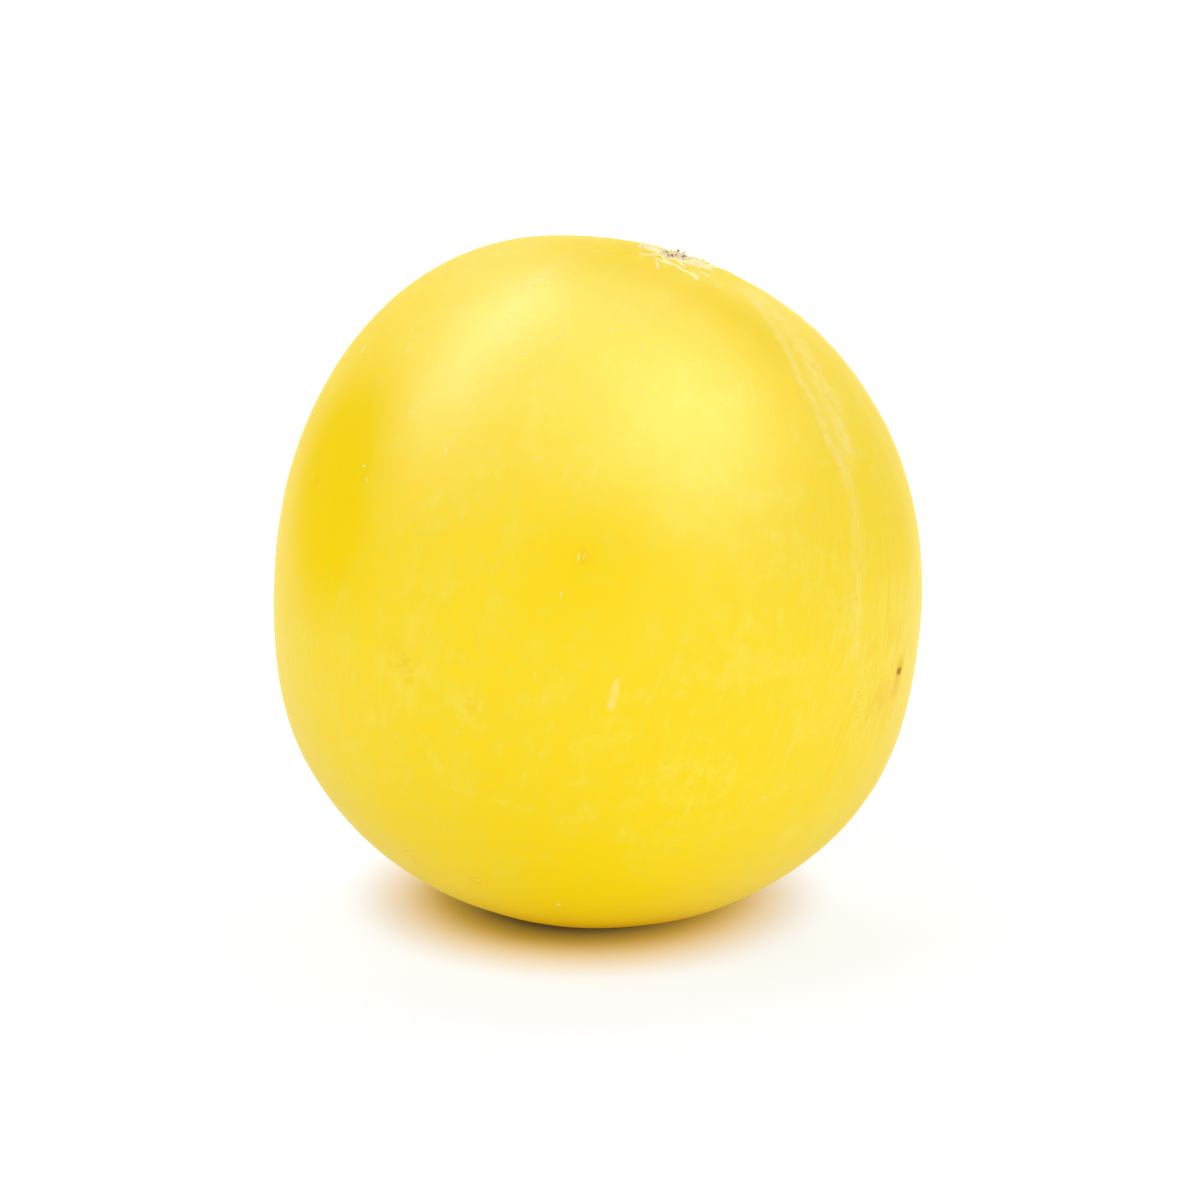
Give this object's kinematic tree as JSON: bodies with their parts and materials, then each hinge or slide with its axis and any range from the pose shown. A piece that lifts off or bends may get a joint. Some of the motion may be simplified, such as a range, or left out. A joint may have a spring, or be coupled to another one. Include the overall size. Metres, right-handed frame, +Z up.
{
  "type": "honeydew melon",
  "caption": "Whole yellow honeydew melon, smooth waxy rind with faint broad lobes, corky stem scar and blossom scar, standing on a small flat spot.",
  "frame": {"origin": "middle of the small flat spot that the melon rests on", "axes": "+Z up, square to the flat spot; +X to the right and -Y towards the viewer of the picture; the stem leans 13 degrees from +Z, to the right"},
  "size_m": [0.1549, 0.1576, 0.1643],
  "materials": {
    "rind": "satin",
    "cork": "matte"
  },
  "bodies": {
    "root": {"melon": "rind"}
  },
  "joints": []
}
